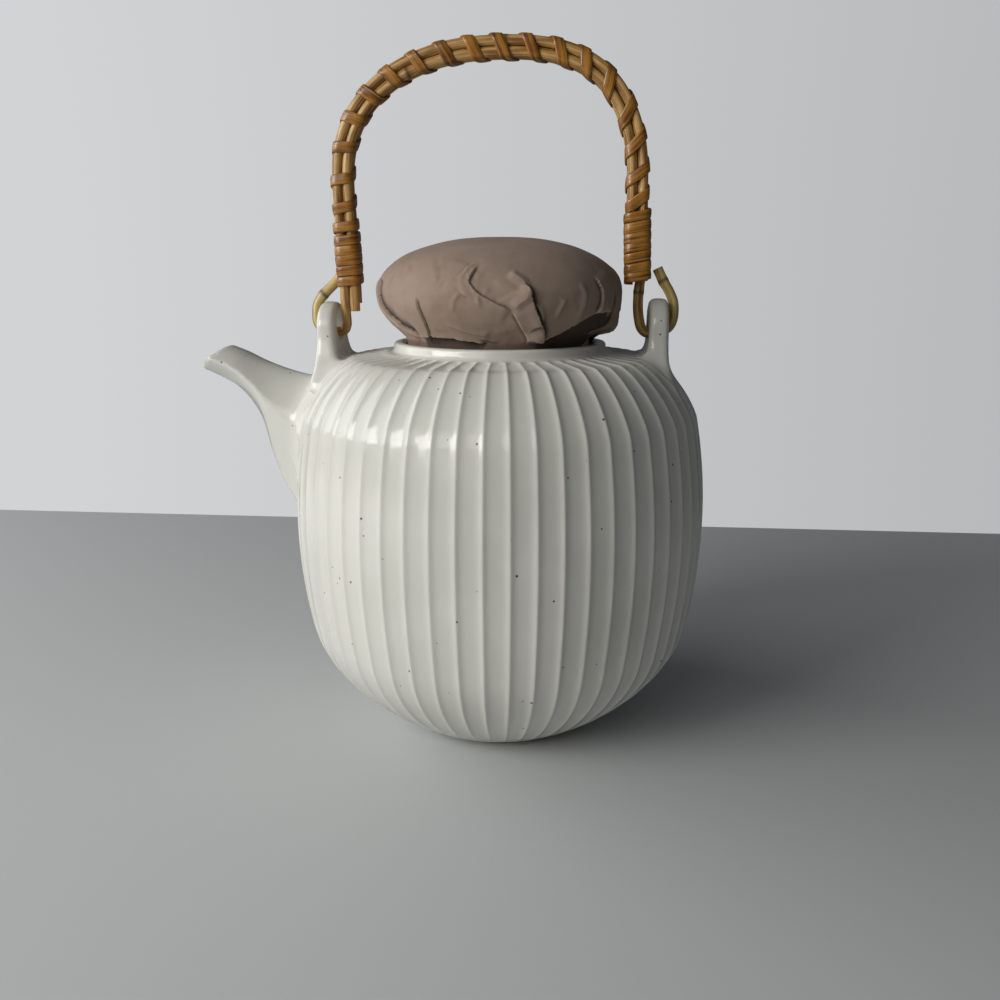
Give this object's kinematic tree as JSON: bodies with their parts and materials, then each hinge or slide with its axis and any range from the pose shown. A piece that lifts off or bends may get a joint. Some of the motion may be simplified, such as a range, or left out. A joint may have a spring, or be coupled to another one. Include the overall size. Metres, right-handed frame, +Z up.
{
  "type": "teapot",
  "caption": "Fluted stoneware teapot with a side spout, a lid wrapped in paper and a swinging rattan bail handle bound with peel strips.",
  "frame": {"origin": "on the pot's axis, in the plane of its flat base", "axes": "+Z up along the pot's axis, -X along the spout, +Y to the back, so that the handle swings about an axis along X"},
  "size_m": [0.187, 0.15, 0.2437],
  "materials": {
    "glaze": "glossy off-white glaze with fine dark iron specks",
    "paper": "matte taupe-brown wrapping paper, creased",
    "rattan": "satin peeled rattan cane",
    "peel": "glossy flat rattan peel"
  },
  "bodies": {
    "pot": {"pot_body": "glaze"},
    "lid": {"lid": "glaze", "paper_wrap": "paper"},
    "handle": {"hook_cane": "rattan", "inner_front_cane": "rattan", "inner_back_cane": "rattan", "outer_front_cane": "rattan", "left_binding": "peel", "arch_binding": "peel", "right_binding": "peel"}
  },
  "joints": [
    {"name": "handle_swing", "type": "hinge", "parent": "pot", "child": "handle", "pos_m": [-0.0028, 0, 0.14515], "axis": [1, 0, 0], "range_deg": [-92, 92]},
    {"name": "lid_lift", "type": "slide", "parent": "pot", "child": "lid", "axis": [0, 0, 1], "range_m": [0, 0.014]}
  ]
}
